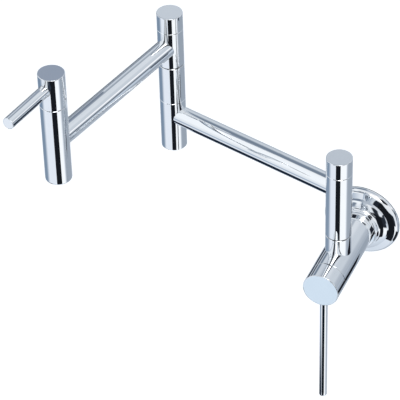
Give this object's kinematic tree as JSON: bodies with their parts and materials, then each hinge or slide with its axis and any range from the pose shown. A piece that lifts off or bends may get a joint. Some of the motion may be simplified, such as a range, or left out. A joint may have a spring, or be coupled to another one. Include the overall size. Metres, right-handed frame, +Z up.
{
  "type": "wall mounted pot filler tap",
  "caption": "Pot filler tap with a double-jointed folding arm on a round wall flange, a shut-off lever at the wall and a second lever over the spout.",
  "frame": {"origin": "middle of the wall inlet, in the wall's plane, on the axis of the horizontal valve body", "axes": "+Z up, +Y into the wall, -Y out into the room, +X to the right seen from the room"},
  "size_m": [0.3625, 0.33, 0.4953],
  "materials": {
    "chrome_plate": "polished chrome plate on brass",
    "brass": "machined brass",
    "steel": "plain stainless steel",
    "rubber": "matt black rubber",
    "acetal": "dark acetal, matt",
    "ceramic": "lapped ceramic"
  },
  "bodies": {
    "wall_body": {"wall_flange": "chrome_plate", "wall_gasket": "rubber", "wall_bracket": "steel", "inlet_shank": "brass", "shank_lock_nut": "brass", "inlet_strainer": "steel", "shank_washer": "rubber", "flange_set_screw": "steel", "valve_body": "chrome_plate", "front_cartridge_body": "brass", "front_cartridge_seal": "rubber", "front_fixed_disc": "ceramic", "wall_spindle": "brass", "wall_spindle_orings": "rubber", "wall_swivel_washer": "acetal", "wall_retaining_washer": "steel", "wall_retaining_nut": "brass"},
    "inner_arm_body": {"wall_post": "chrome_plate", "wall_post_cap": "chrome_plate", "inner_arm": "chrome_plate", "middle_post_lower": "chrome_plate", "middle_bottom_plug": "chrome_plate", "middle_sleeve": "chrome_plate", "middle_spindle": "brass", "middle_spindle_orings": "rubber", "middle_swivel_washer": "acetal", "middle_retaining_washer": "steel", "middle_retaining_nut": "brass"},
    "outer_arm_body": {"middle_post_upper": "chrome_plate", "middle_post_cap": "chrome_plate", "outer_arm": "chrome_plate", "spout_post": "chrome_plate", "spout_cartridge_body": "brass", "spout_cartridge_seal": "rubber", "spout_fixed_disc": "ceramic", "aerator_housing": "chrome_plate", "aerator_insert": "acetal", "aerator_washer": "rubber"},
    "front_handle_body": {"front_handle": "chrome_plate", "front_lever": "chrome_plate", "front_handle_set_screw": "steel", "front_stem": "brass", "front_moving_disc": "ceramic", "front_stem_orings": "rubber", "front_stem_clip": "steel"},
    "spout_handle_body": {"spout_handle": "chrome_plate", "spout_lever": "chrome_plate", "spout_handle_set_screw": "steel", "spout_stem": "brass", "spout_moving_disc": "ceramic", "spout_stem_orings": "rubber", "spout_stem_clip": "steel"}
  },
  "joints": [
    {"name": "inner_arm_swing", "type": "hinge", "parent": "wall_body", "child": "inner_arm_body", "pos_m": [0, -0.088, 0.0435], "axis": [0, 0, 1], "range_deg": [0, 211]},
    {"name": "outer_arm_swing", "type": "hinge", "parent": "inner_arm_body", "child": "outer_arm_body", "pos_m": [-0.24515, -0.02002, 0.18865], "axis": [0, 0, 1], "continuous": true},
    {"name": "front_valve_turn", "type": "hinge", "parent": "wall_body", "child": "front_handle_body", "pos_m": [0, -0.124, 0], "axis": [0, -1, 0], "range_deg": [0, 90]},
    {"name": "spout_valve_turn", "type": "hinge", "parent": "outer_arm_body", "child": "spout_handle_body", "pos_m": [-0.29247, -0.24458, 0.2693], "axis": [0, 0, 1], "range_deg": [0, 90]}
  ]
}
